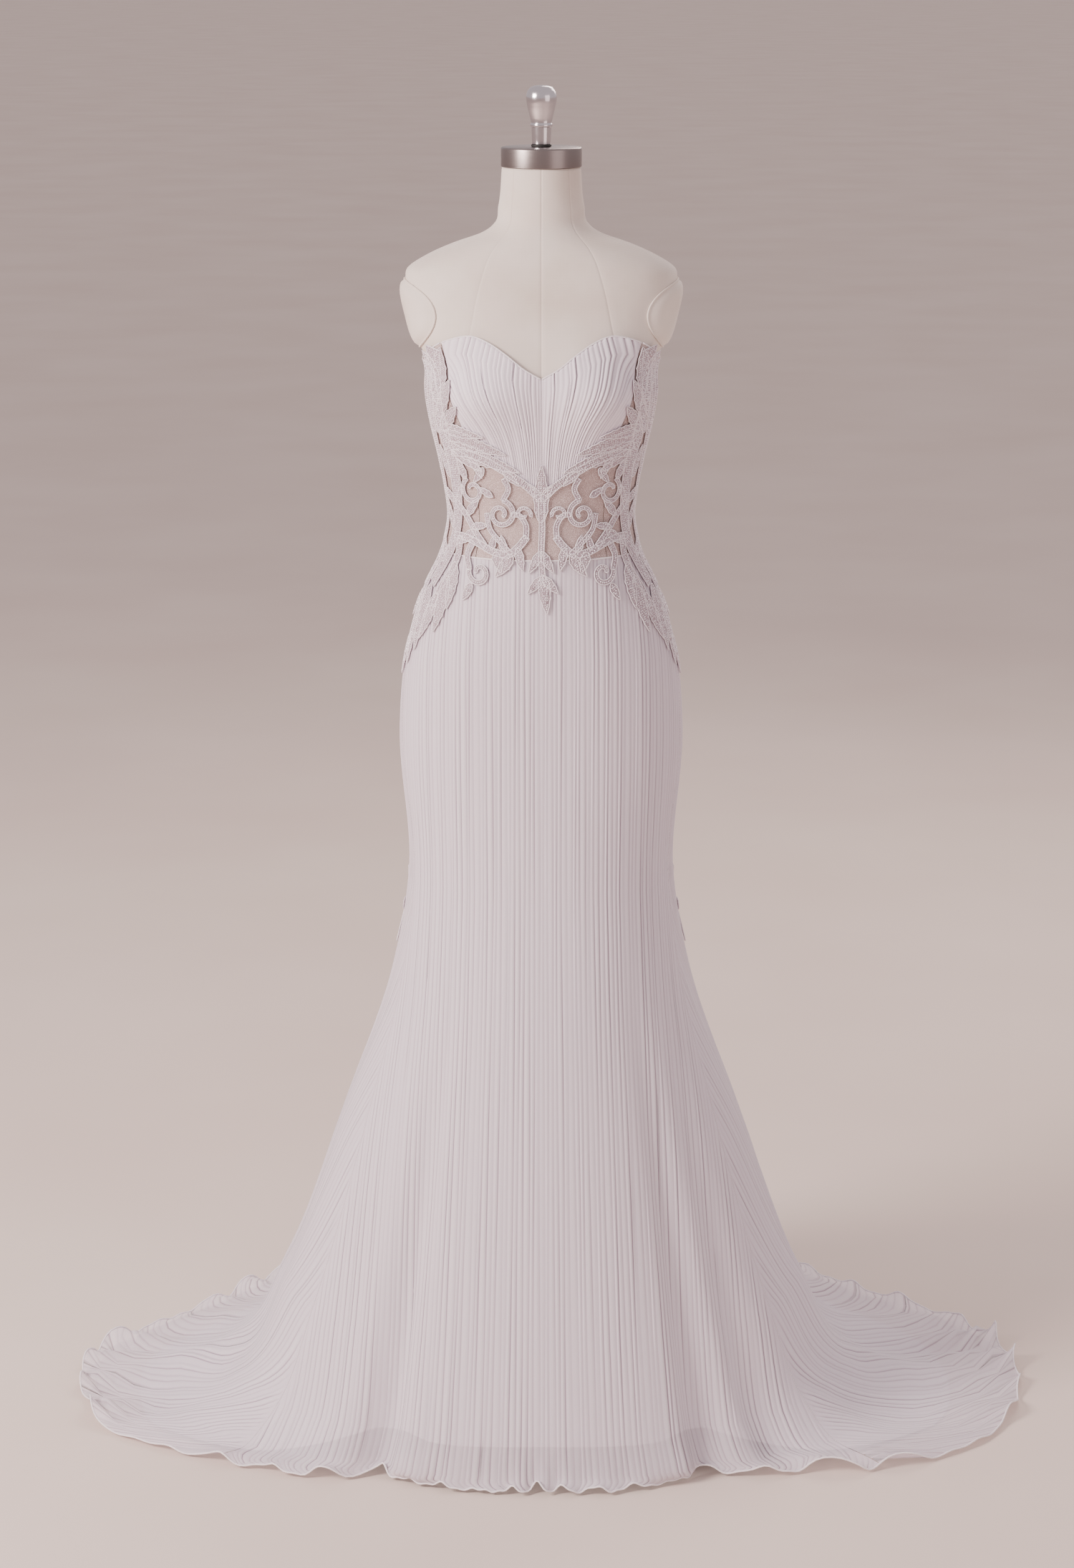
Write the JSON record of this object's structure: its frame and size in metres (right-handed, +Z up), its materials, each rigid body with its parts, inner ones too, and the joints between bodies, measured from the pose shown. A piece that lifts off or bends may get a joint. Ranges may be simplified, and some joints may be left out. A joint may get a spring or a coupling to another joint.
{
  "type": "mermaid gown on a limbless dress form",
  "caption": "Strapless mermaid gown of crinkle-pleated chiffon with mesh waist, corded lace and a train, on its limbless dress form with stand.",
  "frame": {"origin": "centre of the stand base's underside, on the floor under the form's axis", "axes": "+Z up along the stand pole; the front of the gown faces -Y; +X is to the viewer's right from the front"},
  "size_m": [1.263, 0.9195, 1.7147],
  "materials": {
    "pleated_chiffon": "crinkle-pleated, matt",
    "illusion_mesh": "sheer, matt",
    "slip_satin": "soft satin",
    "corded_lace": "corded and beaded",
    "linen_canvas": "plain weave, matt",
    "brushed_steel": "brushed",
    "polished_aluminium": "polished",
    "black_rubber": "matt"
  },
  "bodies": {
    "root": {"bodice_front_left": "pleated_chiffon", "bodice_front_right": "pleated_chiffon", "skirt_front": "pleated_chiffon", "skirt_back_left": "pleated_chiffon", "skirt_back_right": "pleated_chiffon", "bodice_side_left": "illusion_mesh", "bodice_side_right": "illusion_mesh", "bodice_back_left": "illusion_mesh", "bodice_back_right": "illusion_mesh", "waist_mesh_front": "illusion_mesh", "slip_front": "slip_satin", "slip_back_left": "slip_satin", "slip_back_right": "slip_satin", "back_placket": "slip_satin", "button_01": "slip_satin", "button_02": "slip_satin", "button_03": "slip_satin", "button_04": "slip_satin", "button_05": "slip_satin", "button_06": "slip_satin", "button_07": "slip_satin", "button_08": "slip_satin", "button_09": "slip_satin", "button_10": "slip_satin", "lace_side_left": "corded_lace", "lace_side_right": "corded_lace", "lace_knee_left": "corded_lace", "lace_knee_right": "corded_lace", "lace_centre": "corded_lace", "form_torso": "linen_canvas", "form_arm_plate_left": "linen_canvas", "form_arm_plate_right": "linen_canvas", "form_neck_cap": "brushed_steel", "stand_pole": "brushed_steel", "stand_base": "brushed_steel", "form_finial": "polished_aluminium", "form_washer": "black_rubber"}
  },
  "joints": []
}
